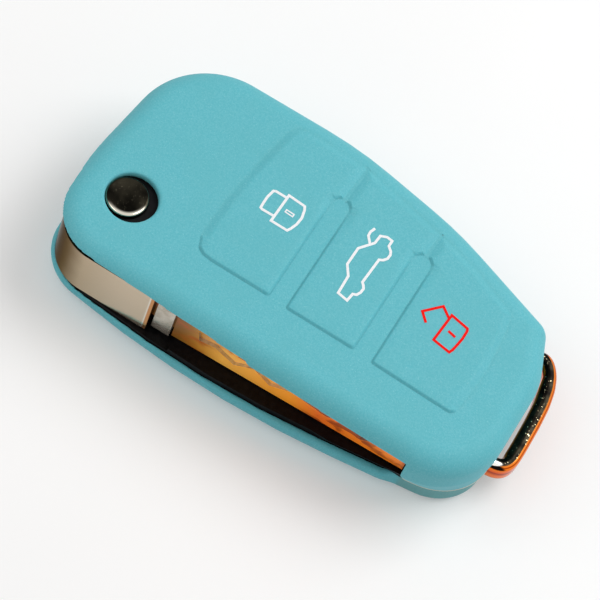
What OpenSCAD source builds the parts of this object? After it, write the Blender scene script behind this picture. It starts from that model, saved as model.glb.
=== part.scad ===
// Soft silicone cover on a flip key fob.
// X runs from the pivot end to the ring loop, the blade lies along the -Y side, Z is up.
// Lengths are in millimetres. The origin is at the middle of the base.

/* [Cover] */
// length of the silicone cover
cover_length = 74.2; // [70:0.1:80]
// width of the silicone cover
cover_width = 41.2; // [39:0.1:45]
// height of the flat top face
cover_height = 18.5; // [18:0.1:21]
// thickness of the side and base wall
cover_wall = 1.2; // [0.9:0.05:1.2]
// thickness of the top face
cover_top = 1.4; // [1:0.05:1.6]
// rounding of the top edge
top_rounding = 3.6; // [2.5:0.1:4]
// rounding of the base edge
base_rounding = 4; // [3:0.1:4.5]

/* [Blade opening] */
// height of the rim below the blade
rim_height = 4.6; // [4.2:0.05:4.8]
// radius of the hole over the release button
hole_radius = 4; // [3.8:0.05:4.5]
// offset of that hole from the pivot, towards the tail
hole_offset = 0.7; // [0:0.05:0.8]

/* [Buttons] */
// how far the pads stand above the top face
pad_rise = 0.45; // [0.2:0.05:1]
// gap round each pad
pad_gap = 0.12; // [0.08:0.01:0.25]
// travel of each button
button_travel = 0.4; // [0.2:0.05:0.5]
// line width of the button marks
mark_stroke = 0.4; // [0.25:0.05:0.5]
// size that the button marks are scaled by
mark_size = 6; // [4:0.1:6.5]

/* [Key case] */
// thickness of the plastic case wall
case_wall = 1.3; // [1:0.05:1.5]
// height where the two case halves meet
case_split = 9; // [8.6:0.1:9.6]
// thickness of the wall behind the blade
partition_wall = 1; // [0.8:0.05:1.2]
// thickness of the case roof over the blade and round the keys
roof_thickness = 1.25; // [1.1:0.05:1.4]
// height of the hub's floor above the rim of the cover
floor_rise = 0.4; // [0:0.05:0.4]
// height of the ledge below the blade above the rim of the cover
ledge_rise = 1; // [0.5:0.05:1.2]

/* [Blade arm] */
// radius of the round hub
hub_radius = 7.6; // [7:0.05:7.7]
// distance from the pivot to the flat face of the arm
arm_offset = 10.75; // [10.4:0.05:10.9]
// distance from the pivot to the end of the arm
arm_reach = 11.7; // [11:0.05:12]
// radius of the pivot post
post_radius = 2.2; // [1.8:0.05:2.6]
// length of the collar at the blade's root
collar_length = 3; // [2:0.1:3]
// gap between the arm and the collar
collar_gap = 0.5; // [0.3:0.05:0.5]
// step from the arm's face back to the collar's face
collar_setback = 0.75; // [0.3:0.05:0.9]
// step from the collar's face back to the blade's face
blade_setback = 0.4; // [0.2:0.05:0.5]
// groove between the collar and the blade
blade_groove = 0.3; // [0.2:0.05:0.3]
// height of the blade above the hub's base
blade_lift = 0.7; // [0.6:0.05:0.9]
// step from the hub's top down to the upper edge of the blade
blade_drop = 0.9; // [0.7:0.05:1.2]
// radius of the pin that holds the blade
pin_radius = 0.5; // [0.4:0.05:0.6]
// thickness of the blade
blade_thickness = 2.9; // [2:0.05:3]
// angle of the blade to the cover
blade_turn = 1.6; // [0:0.1:1.7]

/* [Release button] */
// radius of the release button
release_radius = 3.25; // [2.8:0.05:3.4]
// travel of the release button
release_travel = 2; // [1:0.1:2]
// depth of the button's face below the cover's top
release_depth = 0.5; // [0.3:0.05:1]
// chamfer round the button's face
release_chamfer = 0.4; // [0.2:0.05:0.6]

/* [Inside] */
// diameter of the coin cell
cell_diameter = 20; // [16:0.5:20]
// thickness of the coin cell
cell_thickness = 3.2; // [1.6:0.1:3.2]
// thickness of the circuit board
board_thickness = 0.8; // [0.6:0.05:1]
// edge length of the switches
switch_size = 5; // [4:0.1:6]
// edge length of the controller chip
chip_size = 6; // [4:0.1:7]

/* [Ring loop] */
// how far the loop stands beyond the cover
loop_reach = 3.2; // [2.5:0.1:4]
// thickness of the loop bar, seen from above
loop_bar = 2.1; // [1.8:0.05:2.3]
// height of the loop bar
loop_height = 4.2; // [3.6:0.1:4.4]
// height of the middle of the loop above the rim of the cover
loop_rise = 1.15; // [0.9:0.05:1.2]

/* [Fits] */
// gap between fixed pieces that fit into each other
fit_gap = 0.05; // [0.03:0.01:0.08]
// gap between pieces that turn or slide in each other
slide_gap = 0.08; // [0.05:0.01:0.1]
// gap round the arm and the blade as they swing
swing_gap = 0.3; // [0.2:0.05:0.35]

/* [Hidden] */
// pieces, in drawing order
// piece to draw

// facets of each rounded corner of the cover and of the case
cover_facets = [9, 6, 9, 4, 5, 2, 2, 9, 3];
case_facets = [6, 4, 6, 2, 4, 2, 2, 6, 2];
// facets of each rounded corner of small outlines
corner_facets = 4;
// facets of round pieces
$fn = 48;
// angle between two faces that are square to each other
quarter_turn = 90;
// far more than the size of the part, for cuts that pass right through
far = 2 * cover_length;

// outline of the cover at its widest: x share, y share and corner radius share
upper_outline_shares = [
    [-0.0013, -0.4757, 0.2233], [0.5175, -0.4879, 1.4563], [1, -0.4927, 0.267],
    [1, 0.0583, 0.2913], [0.9542, 0.2621, 0.0728], [0.6995, 0.4223, 1.4563], [0.4434, 0.5024, 1.4563],
    [0.0404, 0.4903, 0.318], [-0.0013, -0.1117, 1.4563]];
// outline of the cover at the rim
lower_outline_shares = [
    [0.0094, -0.4235, 0.2015], [0.416, -0.5352, 3.8835], [0.9933, -0.3981, 0.2136],
    [0.9946, 0.0534, 0.2913], [0.9474, 0.25, 0.0728], [0.6968, 0.4102, 1.4563],
    [0.442, 0.4879, 1.4563], [0.0431, 0.483, 0.3058], [0.0054, -0.1117, 1.4563]];
// the same outline for the case inside it, which comes closer to the surface below the hub
case_outline_shares = [
    [0.0013, -0.449, 0.2379], [0.416, -0.5352, 3.8835], [0.9933, -0.3981, 0.2136],
    [0.9946, 0.0534, 0.2913], [0.9474, 0.25, 0.0728], [0.6968, 0.4102, 1.4563],
    [0.442, 0.4879, 1.4563], [0.0431, 0.483, 0.3058], [0.0054, -0.1117, 1.4563]];
// outlines of the pads
lock_pad_shares = [
    [0.3019, -0.2354], [0.3221, -0.2403], [0.4515, -0.2403], [0.4555, -0.233], [0.4555, 0.216],
    [0.4582, 0.2342], [0.4643, 0.2461], [0.4717, 0.2524], [0.4764, 0.415], [0.4434, 0.4175],
    [0.376, 0.4199], [0.3356, 0.4175], [0.3154, 0.4029], [0.3059, 0.3714], [0.3005, 0.3228],
    [0.2925, 0.2257], [0.2844, 0.1044], [0.279, 0.0073], [0.2776, -0.1141], [0.279, -0.1748],
    [0.2884, -0.2184]];
boot_pad_shares = [
    [0.496, -0.2379], [0.5, -0.2451], [0.6469, -0.2451], [0.6509, -0.2379], [0.6509, 0.1917],
    [0.6536, 0.2087], [0.6604, 0.2221], [0.6685, 0.2282], [0.6718, 0.3386], [0.6456, 0.3495],
    [0.5782, 0.3786], [0.5108, 0.4029], [0.4832, 0.4126], [0.4791, 0.2524], [0.4865, 0.2464],
    [0.4926, 0.2342], [0.496, 0.216]];
unlock_pad_shares = [
    [0.6934, -0.2451], [0.6974, -0.2524], [0.8747, -0.2597], [0.8827, -0.2476],
    [0.8908, -0.1383], [0.8935, -0.0413], [0.8908, 0.0558], [0.8868, 0.1286], [0.8787, 0.199],
    [0.8706, 0.216], [0.8342, 0.2451], [0.7803, 0.2864], [0.7129, 0.3228], [0.6786, 0.3362],
    [0.6759, 0.2282], [0.6833, 0.2233], [0.6907, 0.2087], [0.6934, 0.1917]];
// outlines of the hard keys below the pads, with corner radius shares
lock_key_shares = [
    [0.3113, -0.1845, 0.04], [0.4313, -0.1845, 0.04], [0.4313, 0.2816, 0.04],
    [0.3154, 0.2816, 0.04]];
boot_key_shares = [
    [0.5216, -0.1893, 0.04], [0.6253, -0.1893, 0.04], [0.6253, 0.267, 0.04],
    [0.5216, 0.2961, 0.04]];
unlock_key_shares = [
    [0.7197, -0.1942, 0.04], [0.8571, -0.1942, 0.04], [0.8491, 0.1505, 0.04],
    [0.7197, 0.2233, 0.04]];
// outline of the circuit board, with corner radius shares
board_shares = [
    [0.2911, -0.2646, 0.02], [0.8949, -0.2646, 0.02], [0.903, 0.1748, 0.02],
    [0.8571, 0.233, 0.05], [0.6927, 0.3422, 0.2], [0.4636, 0.4175, 0.2],
    [0.2911, 0.4175, 0.02]];
// centres of the three switches
lock_centre_shares = [0.3733, 0.0437];
boot_centre_shares = [0.5741, 0.0388];
unlock_centre_shares = [0.7871, -0.017];
// places of the posts below the board, and of the parts under it
post_shares = [[0.32, -0.2], [0.32, 0.35], [0.5, 0.37], [0.87, 0.1]];
chip_shares = [0.36, 0.2];
crystal_shares = [0.36, -0.1];
coil_shares = [0.82, -0.17];
transponder_shares = [0.232, 0.235];
// marks, as shares of the mark size about their own centres
padlock_body_shares = [
    [-0.03, -0.48], [0.43, -0.48], [0.48, -0.38], [0.54, -0.2], [0.56, 0.02], [0.51, 0.25],
    [0.46, 0.35], [-0.01, 0.38]];
padlock_shackle_shares = [
    [-0.03, 0.29], [-0.33, 0.29], [-0.39, 0.26], [-0.43, 0.03], [-0.43, -0.17], [-0.42, -0.32],
    [-0.36, -0.34], [-0.05, -0.33]];
padlock_slot_shares = [[0.12, -0.03], [0.37, -0.04]];
car_body_shares = [
    [-0.02, 0.65], [-0.29, 0.28], [-0.3, -0.25], [-0.12, -0.52], [-0.1, -1.06],
    [0.18, -1.11], [0.21, -0.88], [0.3, -0.84], [0.35, -0.73], [0.36, -0.6], [0.31, -0.52],
    [0.25, -0.46], [0.29, 0.31], [0.38, 0.36], [0.45, 0.46], [0.46, 0.59], [0.42, 0.68],
    [0.31, 0.78], [0.31, 0.95], [0.16, 0.97], [0, 0.9]];
car_lid_shares = [[-0.1, 0.55], [-0.25, 0.73], [-0.26, 0.85], [-0.21, 1]];
open_body_shares = [
    [-0.01, -0.47], [0.47, -0.54], [0.51, -0.44], [0.54, -0.26], [0.57, -0.03],
    [0.57, 0.21], [0.54, 0.28], [0.05, 0.37]];
open_shackle_shares = [[0.02, 0.26], [-0.24, 0.46], [-0.61, 0.04], [-0.39, -0.18]];
open_dash_shares = [[0.18, -0.05], [0.4, -0.1]];
lock_mark_centre_shares = [0.3794, 0.0874];
boot_mark_centre_shares = [0.5741, 0.0655];
unlock_mark_centre_shares = [0.7736, 0.0194];
// middle line of the ring loop: x share and y share, from one socket to the other
loop_line_shares = [
    [0.9326, -0.193], [0.9946, -0.193], [1.0081, -0.1905], [1.0195, -0.1796], [1.027, -0.1578],
    [1.029, -0.1286], [1.029, -0.0728], [1.0276, 0.0243], [1.0243, 0.1117], [1.0175, 0.1772],
    [1.0067, 0.2282], [0.9946, 0.2597], [0.9825, 0.2767], [0.9704, 0.2767], [0.91, 0.2]];

// ends of the cover
head_x = -(cover_length + loop_reach) / 2;
tail_x = head_x + cover_length;
// heights of the shape
widest_low = 0.65 * cover_height;
inner_top = cover_height - cover_top;
case_base = cover_wall + fit_gap;
case_top = inner_top - fit_gap;
case_floor = case_base + case_wall;
case_roof = case_top - roof_thickness;
// pivot of the blade arm
pivot_x = head_x + 0.1146 * cover_length;
pivot_y = -0.1869 * cover_width;
// blade opening
opening_end = head_x + 0.8558 * cover_length;
opening_head = inner_top;
opening_tail = case_roof;
step_start = head_x + 0.4838 * cover_length;
step_end = head_x + 0.4973 * cover_length;
step_top = case_roof + 0.4 * (inner_top - case_roof);
head_cut_y = pivot_y + arm_offset + swing_gap;
// space that the arm turns in
pocket_floor = rim_height + floor_rise;
ledge_height = rim_height + ledge_rise;
pocket_radius = arm_offset + swing_gap;
sweep_radius = norm([arm_reach, arm_offset]) + swing_gap;
partition_y = pivot_y - 0.43 * arm_offset;
// blade arm
hub_base = pocket_floor + swing_gap;
hub_top = case_roof - swing_gap;
hub_height = hub_top - hub_base;
arm_face_y = pivot_y - arm_offset;
arm_back_y = partition_y - swing_gap;
arm_end_x = pivot_x + arm_reach;
corner_radius = 0.66 * arm_offset;
post_top = hub_base + 0.44 * hub_height;
chamber_floor = hub_base + 0.46 * hub_height;
blade_base = hub_base + blade_lift;
blade_width = hub_top - blade_drop - blade_base;
tang_thickness = 0.6 * blade_thickness;
tang_width = 0.65 * blade_width;
tang_base = blade_base + (blade_width - tang_width) / 2;
collar_start = arm_end_x + collar_gap;
collar_end = collar_start + collar_length;
collar_face_y = arm_face_y + collar_setback;
collar_top = hub_top - blade_lift / 2;
blade_start = collar_end + blade_groove;
blade_face_y = collar_face_y + blade_setback;
blade_back_y = blade_face_y + blade_thickness;
blade_length = opening_end - swing_gap - blade_start;
tang_face_y = blade_face_y + (blade_thickness - tang_thickness) / 2;
tang_start = arm_end_x - 0.5 * arm_reach;
pin_x = arm_end_x - 0.3 * arm_reach;
pin_y = tang_face_y + tang_thickness / 2;
// release button and spring
release_top = cover_height - release_depth;
release_base = chamber_floor + 0.58 * (hub_top - chamber_floor);
spring_wire = 0.09 * (release_base - chamber_floor);
spring_radius = 0.76 * release_radius;
spring_turns = 3.5;
// buttons
pad_base = case_top + button_travel + fit_gap;
pad_top = cover_height + pad_rise;
mark_height = pad_rise / 11;
key_flange = 0.5 * roof_thickness;
key_flange_base = case_roof - key_flange - button_travel / 4;
plunger_radius = 1.6;
plunger_base = key_flange_base - button_travel - fit_gap;
// circuit board and the parts on it
board_base = 0.68 * case_top;
board_top = board_base + board_thickness;
switch_button_top = plunger_base - button_travel - fit_gap;
switch_top = (board_top + switch_button_top) / 2;
web_top = key_flange_base - button_travel - 2 * fit_gap;
web_base = web_top - 0.75 * board_thickness;
web_rim = 1.25 * board_thickness;
chip_thickness = chip_size / 6;
crystal_thickness = chip_size / 5;
coil_thickness = 0.28 * chip_size;
// coin cell and clips
cell_x = head_x + 0.628 * cover_length;
cell_y = 0.0437 * cover_width;
clip_thickness = cell_thickness / 8;
cell_base = 2 * case_floor;
cell_top = cell_base + cell_thickness;
clip_width = cell_diameter / 5;
clip_leg = 0.55 * cell_diameter;
// ring loop
loop_z = rim_height + loop_rise;
loop_points = [for (s = loop_line_shares) plan_point(s)];
anchor_radius = 1.3 * loop_bar;
anchor_top = loop_z + loop_height / 2 + 0.8 * case_wall;

function plan_point(s) = [head_x + cover_length * s[0], cover_width * s[1]];
function plan_points(shares) = [for (s = shares) plan_point(s)];
function plan_radii(shares) = [for (s = shares) cover_width * s[2]];
function unit(v) = v / norm(v);
function left_of(v) = [-v[1], v[0]];
// outline moved inwards by a distance, for points that run anticlockwise
function moved_in(p, d) = [for (i = [0 : len(p) - 1])
    let (before = p[(i + len(p) - 1) % len(p)], after = p[(i + 1) % len(p)],
        n = left_of(unit(p[i] - before)), m = left_of(unit(after - p[i])))
    p[i] + d * (n + m) / (1 + n * m)];
// arc that rounds one corner
function corner_arc(a, b, c, r, count) =
    let (u = unit(a - b), v = unit(c - b), opening = acos(u * v), half = opening / 2,
        centre = b + unit(u + v) * r / sin(half), start = b + u * r / tan(half) - centre,
        first = atan2(start[1], start[0]), turn = 180 - opening)
    [for (k = [0 : count]) centre + r * [cos(first + turn * k / count),
        sin(first + turn * k / count)]];
// rounded outline, moved inwards by a distance
function rounded(p, radii, d, counts) =
    let (q = moved_in(p, d))
    [for (i = [0 : len(q) - 1]) each corner_arc(q[(i + len(q) - 1) % len(q)], q[i],
        q[(i + 1) % len(q)], max(radii[i] - d, 0.02 * cover_width), counts[i])];
function outline(shares, d, counts) = rounded(plan_points(shares), plan_radii(shares), d, counts);
function small_outline(shares, d) = outline(shares, d, [for (s = shares) corner_facets]);
// one side of an open line
function line_side(p, d) = [for (i = [0 : len(p) - 1])
    let (before = p[max(i - 1, 0)], after = p[min(i + 1, len(p) - 1)],
        n = left_of(unit((i == 0 ? after : p[i]) - (i == 0 ? p[i] : before))),
        m = left_of(unit((i == len(p) - 1 ? p[i] : after) - (i == len(p) - 1 ? before : p[i]))))
    p[i] + d * (n + m) / (1 + n * m)];
function ribbon(p, w) =
    let (one = line_side(p, -w / 2), other = line_side(p, w / 2))
    concat(one, [for (i = [len(p) - 1 : -1 : 0]) other[i]]);
function mark_points(shares, centre) = [for (s = shares) centre + mark_size * s];

module prism(points, low, high) {
    translate([0, 0, low])
        linear_extrude(height = high - low)
            polygon(points);
}

module block(low, high) {
    translate(low)
        cube(high - low);
}

// solid spanned between outlines that all have the same number of points
module lofted(outlines, heights) {
    n = len(outlines[0]);
    last = len(heights) - 1;
    points = [for (i = [0 : last], p = outlines[i]) [p[0], p[1], heights[i]]];
    faces = concat(
        [for (k = [1 : n - 2]) [0, k, k + 1]],
        [for (i = [0 : last - 1], j = [0 : n - 1])
            [i * n + j, (i + 1) * n + j, (i + 1) * n + (j + 1) % n]],
        [for (i = [0 : last - 1], j = [0 : n - 1])
            [i * n + j, (i + 1) * n + (j + 1) % n, i * n + (j + 1) % n]],
        [for (k = [1 : n - 2]) [last * n, last * n + k + 1, last * n + k]]);
    polyhedron(points, faces);
}

// shape over an outline at the rim, moved inwards by the inset, from one height to another
module cover_shape(lower_shares, inset, low, high, counts, steps) {
    round_top = max(top_rounding - inset, top_rounding / 3);
    round_base = max(base_rounding - inset, base_rounding / 3);
    base = [for (k = [0 : 3]) quarter_turn * k / 3];
    top = [for (k = [0 : steps]) quarter_turn * k / steps];
    heights = concat([for (a = base) low + round_base * (1 - cos(a))], [rim_height, widest_low],
        [for (a = top) high - round_top * (1 - sin(a))]);
    outlines = concat(
        [for (a = base) outline(lower_shares, inset + round_base * (1 - sin(a)), counts)],
        [outline(lower_shares, inset, counts), outline(upper_outline_shares, inset, counts)],
        [for (a = top) outline(upper_outline_shares, inset + round_top * (1 - cos(a)), counts)]);
    lofted(outlines, heights);
}

// everything in front of the wall behind the blade, seen from above
module front_space(low, high) {
    block([-far, -far, low], [opening_end, partition_y, high]);
}

// everything on the head side that the arm turns through
module head_space(low, high) {
    block([-far, -far, low], [pivot_x, head_cut_y, high]);
}

module pivot_disc(radius, low, high) {
    translate([pivot_x, pivot_y, low])
        cylinder(r = radius, h = high - low);
}

// profile of the blade opening in the cover, seen from the blade side
module opening_profile(back_y) {
    translate([0, back_y, 0])
        rotate([quarter_turn, 0, 0])
            linear_extrude(height = far)
                polygon([[-far, rim_height], [opening_end, rim_height],
                    [opening_end, opening_tail], [step_end, opening_tail],
                    [step_start, step_top], [pivot_x, opening_head], [-far, opening_head]]);
}

// bar of the ring loop, widened by a gap for the sockets that hold it
module loop_shape(gap) {
    prism(ribbon(loop_points, loop_bar + 2 * gap), loop_z - loop_height / 2 - gap,
        loop_z + loop_height / 2 + gap);
}

module cover_sleeve() {
    color([0.43, 0.77, 0.81])
    difference() {
        cover_shape(lower_outline_shares, 0, 0, cover_height, cover_facets, 5);
        cover_shape(case_outline_shares, cover_wall, cover_wall, inner_top, case_facets, 3);
        opening_profile(partition_y);
        intersection() {
            opening_profile(far / 2);
            head_space(0, case_roof);
        }
        translate([pivot_x + hole_offset, pivot_y, case_top])
            cylinder(r = hole_radius, h = far);
        for (shares = [lock_pad_shares, boot_pad_shares, unlock_pad_shares])
            prism(moved_in(plan_points(shares), -pad_gap), case_top, far);
        loop_shape(slide_gap);
    }
}

// room for the electronics between the case halves
module inner_room() {
    difference() {
        cover_shape(case_outline_shares, case_base + case_wall, case_floor, case_roof,
            case_facets, 3);
        front_space(0, cover_height);
        block([-far, -far, 0], [far, partition_y + partition_wall, cover_height]);
        head_space(0, cover_height);
        block([-far, -far, 0], [pivot_x, head_cut_y + partition_wall, cover_height]);
        pivot_disc(pocket_radius + partition_wall, 0, cover_height);
        // bosses that hold the ring loop
        prism(ribbon(loop_points, 2 * anchor_radius), 0, anchor_top);
        for (p = [loop_points[0], loop_points[len(loop_points) - 1]])
            translate([p[0], p[1], 0])
                cylinder(r = anchor_radius, h = anchor_top);
    }
}

// room that the blade arm turns in
module arm_room(high) {
    front_space(ledge_height, high);
    block([-far, -far, pocket_floor], [pivot_x + sweep_radius, partition_y, high]);
    head_space(pocket_floor, high);
    pivot_disc(pocket_radius, pocket_floor, high);
}

module lower_case() {
    color([0.1, 0.09, 0.09])
    union() {
        difference() {
            cover_shape(case_outline_shares, case_base, case_base, case_top, case_facets, 3);
            block([-far, -far, case_split], [far, far, far]);
            inner_room();
            arm_room(far);
            loop_shape(fit_gap);
        }
        pivot_disc(post_radius, pocket_floor, post_top);
        // seat below the coin cell
        translate([cell_x, cell_y, case_floor])
            cylinder(r = cell_diameter / 4, h = cell_base - clip_thickness - case_floor);
        // posts below the circuit board
        for (s = post_shares)
            translate([plan_point(s)[0], plan_point(s)[1], case_floor])
                cylinder(r = post_radius / 2, h = board_base - case_floor);
    }
}

module upper_case() {
    color([0.07, 0.07, 0.07])
    difference() {
        cover_shape(case_outline_shares, case_base, case_base, case_top, case_facets, 3);
        block([-far, -far, -far], [far, far, case_split + fit_gap / 10]);
        inner_room();
        arm_room(case_roof);
        pivot_disc(release_radius + slide_gap, 0, far);
        for (shares = [lock_key_shares, boot_key_shares, unlock_key_shares])
            prism(small_outline(shares, -pad_gap), 0, far);
    }
}

module keypad_web() {
    color([0.2, 0.2, 0.22])
    difference() {
        prism(small_outline(board_shares, web_rim / 2), board_top, web_top);
        prism(small_outline(board_shares, 1.5 * web_rim), 0, web_base);
        for (s = [lock_centre_shares, boot_centre_shares, unlock_centre_shares])
            translate([plan_point(s)[0], plan_point(s)[1], 0])
                cylinder(r = plunger_radius + 2 * pad_gap, h = far);
    }
}

module circuit_board() {
    color([0.05, 0.3, 0.15])
        prism(small_outline(board_shares, 0), board_base, board_top);
}

module tact_switch(shares) {
    p = plan_point(shares);
    color([0.75, 0.75, 0.75])
    union() {
        block([p[0] - switch_size / 2, p[1] - switch_size / 2, board_top],
            [p[0] + switch_size / 2, p[1] + switch_size / 2, switch_top]);
        translate([p[0], p[1], board_top])
            cylinder(r = switch_size / 4, h = switch_button_top - board_top);
    }
}

module lock_switch() {
    tact_switch(lock_centre_shares);
}

module boot_switch() {
    tact_switch(boot_centre_shares);
}

module unlock_switch() {
    tact_switch(unlock_centre_shares);
}

// part hung under the circuit board
module under_board(shares, size, thickness) {
    p = plan_point(shares);
    block([p[0] - size[0] / 2, p[1] - size[1] / 2, board_base - thickness],
        [p[0] + size[0] / 2, p[1] + size[1] / 2, board_base]);
}

module controller_chip() {
    color([0.08, 0.08, 0.08])
        under_board(chip_shares, [chip_size, chip_size], chip_thickness);
}

module timing_crystal() {
    color([0.8, 0.8, 0.78])
        under_board(crystal_shares, [0.8 * chip_size, 0.5 * chip_size], crystal_thickness);
}

module antenna_coil() {
    color([0.6, 0.35, 0.15])
        under_board(coil_shares, [chip_size, 0.8 * chip_size], coil_thickness);
}

module transponder_chip() {
    p = plan_point(transponder_shares);
    color([0.12, 0.12, 0.14])
        block([p[0] - chip_size, p[1] - chip_size / 2, case_floor],
            [p[0] + chip_size, p[1] + chip_size / 2, case_floor + chip_size / 2]);
}

module coin_cell() {
    color([0.8, 0.8, 0.8])
    union() {
        translate([cell_x, cell_y, cell_base])
            cylinder(r = 0.9 * cell_diameter / 2, h = cell_thickness);
        translate([cell_x, cell_y, cell_base + 0.15 * cell_thickness])
            cylinder(r = cell_diameter / 2, h = 0.85 * cell_thickness);
    }
}

module cell_clip_upper() {
    color([0.85, 0.8, 0.6])
    union() {
        block([cell_x - clip_leg, cell_y - clip_width / 2, cell_top],
            [cell_x + clip_width / 2, cell_y + clip_width / 2, cell_top + clip_thickness]);
        block([cell_x - clip_leg - clip_thickness, cell_y - clip_width / 2, cell_top],
            [cell_x - clip_leg, cell_y + clip_width / 2, board_base]);
    }
}

module cell_clip_lower() {
    color([0.85, 0.8, 0.6])
    union() {
        block([cell_x - clip_width / 2, cell_y - clip_width / 2, cell_base - clip_thickness],
            [cell_x + clip_leg + clip_thickness, cell_y + clip_width / 2, cell_base]);
        block([cell_x + clip_leg, cell_y - clip_width / 2, cell_base],
            [cell_x + clip_leg + clip_thickness, cell_y + clip_width / 2, board_base]);
    }
}

module ring_loop() {
    color([0.15, 0.15, 0.16])
        loop_shape(0);
}

module blade_hub() {
    color([0.6, 0.55, 0.48])
    difference() {
        union() {
            pivot_disc(hub_radius, hub_base, hub_top);
            translate([pivot_x, arm_face_y + corner_radius, hub_base])
                cylinder(r = corner_radius, h = hub_height);
            block([pivot_x, arm_face_y, hub_base], [arm_end_x, arm_back_y, hub_top]);
            block([pivot_x, arm_back_y, hub_base], [pivot_x + hub_radius, pivot_y, hub_top]);
        }
        pivot_disc(post_radius + slide_gap, 0, chamber_floor);
        pivot_disc(release_radius + slide_gap, chamber_floor, far);
        block([tang_start - fit_gap, tang_face_y - fit_gap, tang_base - fit_gap],
            [arm_end_x + fit_gap, tang_face_y + tang_thickness + fit_gap,
                tang_base + tang_width + fit_gap]);
        translate([pin_x, pin_y, 0])
            cylinder(r = pin_radius + fit_gap, h = far);
    }
}

module blade_collar() {
    color([0.72, 0.66, 0.58])
    difference() {
        block([collar_start, collar_face_y, blade_base],
            [collar_end, blade_back_y, collar_top]);
        block([head_x, tang_face_y - fit_gap, tang_base - fit_gap],
            [blade_start, tang_face_y + tang_thickness + fit_gap,
                tang_base + tang_width + fit_gap]);
    }
}

module key_blade() {
    tip = blade_start + blade_length;
    groove = blade_thickness / 5;
    fall = tan(blade_turn);
    color([0.85, 0.55, 0.2])
    difference() {
        union() {
            prism([[blade_start, blade_face_y], [tip, blade_face_y + blade_length * fall],
                [tip, blade_back_y + blade_length * fall], [blade_start, blade_back_y]],
                blade_base, blade_base + blade_width);
            block([tang_start, tang_face_y, tang_base],
                [blade_start + blade_thickness, tang_face_y + tang_thickness,
                    tang_base + tang_width]);
        }
        // milled track on both faces
        for (side = [0, 1])
            multmatrix([[1, 0, 0, 0], [fall, 1, 0, blade_face_y - fall * blade_start
                + side * (blade_thickness - groove)], [0, 0, 1, 0]])
                translate([0, groove, 0])
                    rotate([quarter_turn, 0, 0])
                        linear_extrude(height = groove)
                            polygon(track_points());
        translate([pin_x, pin_y, 0])
            cylinder(r = pin_radius + fit_gap, h = far);
    }
}

// wavy milled track, in x and z
function track_points() = ribbon([for (k = [0 : 12])
    [blade_start + 0.1 * blade_length + 0.95 * blade_length * k / 12,
        blade_base + blade_width / 2 + 0.14 * blade_width * sin(150 * k)]],
    0.28 * blade_width);

module blade_pin() {
    color([0.7, 0.7, 0.7])
        translate([pin_x, pin_y, hub_base])
            cylinder(r = pin_radius, h = hub_height);
}

module release_button() {
    color([0.05, 0.05, 0.05])
    union() {
        pivot_disc(release_radius, release_base, release_top - release_chamfer);
        pivot_disc(release_radius - release_chamfer, release_base, release_top);
        translate([pivot_x, pivot_y, release_top - release_chamfer])
            cylinder(r1 = release_radius, r2 = release_radius - release_chamfer,
                h = release_chamfer);
    }
}

// coil of round wire
module flip_spring() {
    height = release_base - chamber_floor - 2 * spring_wire;
    steps = ceil(20 * spring_turns);
    sides = 8;
    points = [for (i = [0 : steps], j = [0 : sides - 1])
        let (a = 360 * spring_turns * i / steps, b = 360 * j / sides,
            r = spring_radius + spring_wire * cos(b))
        [pivot_x + r * cos(a), pivot_y + r * sin(a),
            chamber_floor + spring_wire + height * i / steps + spring_wire * sin(b)]];
    faces = concat(
        [[for (j = [0 : sides - 1]) j]],
        [for (i = [0 : steps - 1], j = [0 : sides - 1])
            [i * sides + j, (i + 1) * sides + j, (i + 1) * sides + (j + 1) % sides]],
        [for (i = [0 : steps - 1], j = [0 : sides - 1])
            [i * sides + j, (i + 1) * sides + (j + 1) % sides, i * sides + (j + 1) % sides]],
        [[for (j = [sides - 1 : -1 : 0]) steps * sides + j]]);
    color([0.7, 0.7, 0.72])
        polyhedron(points, faces);
}

module pad(shares) {
    color([0.43, 0.77, 0.81])
        prism(plan_points(shares), pad_base, pad_top);
}

// closed line of a mark
module mark_ring(points) {
    difference() {
        prism(moved_in(points, -mark_stroke / 2), pad_top, pad_top + mark_height);
        prism(moved_in(points, mark_stroke / 2), pad_top - mark_height, far);
    }
}

// open line of a mark
module mark_line(points) {
    prism(ribbon(points, mark_stroke), pad_top, pad_top + mark_height);
}

// thin outline of a short slot
module mark_slot(points) {
    rim = ribbon(points, 1.6 * mark_stroke);
    difference() {
        prism(rim, pad_top, pad_top + mark_height);
        prism(moved_in(rim, mark_stroke / 2), pad_top - mark_height, far);
    }
}

// hard key with a flange below the case and a window part above it
module key_cap(shares) {
    color([0.12, 0.12, 0.13])
    union() {
        prism(small_outline(shares, 0), key_flange_base, pad_base);
        prism(small_outline(shares, -key_flange), key_flange_base,
            key_flange_base + key_flange);
    }
}

module plunger(shares) {
    p = plan_point(shares);
    color([0.2, 0.2, 0.22])
        translate([p[0], p[1], plunger_base])
            cylinder(r = plunger_radius, h = key_flange_base - plunger_base);
}

module lock_pad() {
    pad(lock_pad_shares);
}

module lock_mark() {
    centre = plan_point(lock_mark_centre_shares);
    color([0.95, 0.95, 0.95])
    union() {
        mark_ring(mark_points(padlock_body_shares, centre));
        mark_line(mark_points(padlock_shackle_shares, centre));
        mark_slot(mark_points(padlock_slot_shares, centre));
    }
}

module lock_key() {
    key_cap(lock_key_shares);
}

module lock_plunger() {
    plunger(lock_centre_shares);
}

module boot_pad() {
    pad(boot_pad_shares);
}

module boot_mark() {
    centre = plan_point(boot_mark_centre_shares);
    color([0.95, 0.95, 0.95])
    union() {
        mark_ring(mark_points(car_body_shares, centre));
        mark_line(mark_points(car_lid_shares, centre));
    }
}

module boot_key() {
    key_cap(boot_key_shares);
}

module boot_plunger() {
    plunger(boot_centre_shares);
}

module unlock_pad() {
    pad(unlock_pad_shares);
}

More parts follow.
